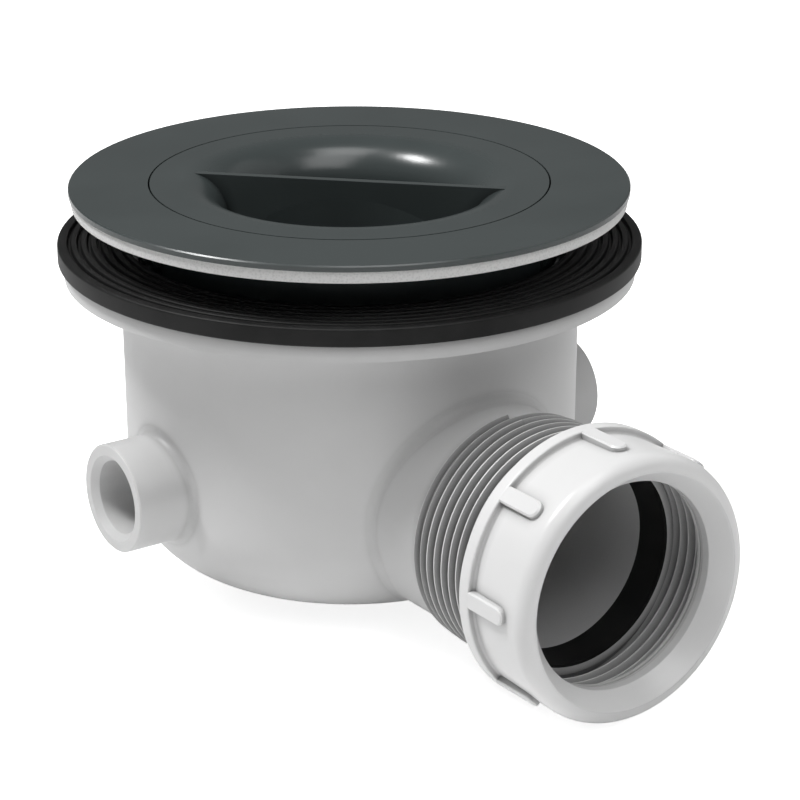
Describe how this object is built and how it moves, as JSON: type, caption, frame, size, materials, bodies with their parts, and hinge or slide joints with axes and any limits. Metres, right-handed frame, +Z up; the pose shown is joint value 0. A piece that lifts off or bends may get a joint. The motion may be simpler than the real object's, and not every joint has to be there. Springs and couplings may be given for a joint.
{
  "type": "shower trap",
  "caption": "Shower tray waste with a screw-down flange, a lift-out dip tube, a ridged gasket, side spigots and a threaded outlet with a compression nut",
  "frame": {"origin": "on the trap's axis at the underside of the shower tray, level with the gasket's top", "axes": "+Z up through the drain, +X along the outlet towards the waste pipe, the spigots on +Y and -Y"},
  "size_m": [0.153, 0.1182, 0.0841],
  "materials": {
    "body_plastic": "light grey moulded polypropylene, satin",
    "black_rubber": "black moulded rubber, matt",
    "washer_foam": "white closed-cell polyethylene foam",
    "slate_plastic": "dark slate grey moulded plastic, fine satin",
    "ring_plastic": "natural nylon",
    "nut_plastic": "white moulded polypropylene, low gloss"
  },
  "bodies": {
    "trap_body": {"trap_body": "body_plastic", "seal_cup": "body_plastic", "tray_gasket": "black_rubber", "outlet_seal": "black_rubber"},
    "washer": {"flange_washer": "washer_foam"},
    "flange": {"waste_flange": "slate_plastic"},
    "insert": {"dip_tube_insert": "slate_plastic", "insert_seal": "black_rubber"},
    "slip_ring": {"slip_ring": "ring_plastic"},
    "nut": {"compression_nut": "nut_plastic"}
  },
  "joints": [
    {"name": "flange_travel", "type": "slide", "parent": "trap_body", "child": "washer", "axis": [0, 0, 1], "range_m": [-0.0047, 0.007]},
    {"name": "flange_turn", "type": "hinge", "parent": "washer", "child": "flange", "pos_m": [0, 0, 0], "axis": [0, 0, 1], "range_deg": [-720, 1080]},
    {"name": "insert_lift", "type": "slide", "parent": "flange", "child": "insert", "axis": [0, 0, 1], "range_m": [0, 0.075]},
    {"name": "nut_travel", "type": "slide", "parent": "trap_body", "child": "slip_ring", "axis": [1, 0, 0], "range_m": [-0.0082, 0.0012]},
    {"name": "nut_turn", "type": "hinge", "parent": "slip_ring", "child": "nut", "pos_m": [0.085, 0, -0.0452], "axis": [1, 0, 0], "range_deg": [-1260, 180]}
  ],
  "couplings": [
    {"joint": "flange_travel", "follows": "flange_turn", "m_per_rad": 0.00036749},
    {"joint": "nut_travel", "follows": "nut_turn", "m_per_rad": 0.00036749}
  ]
}
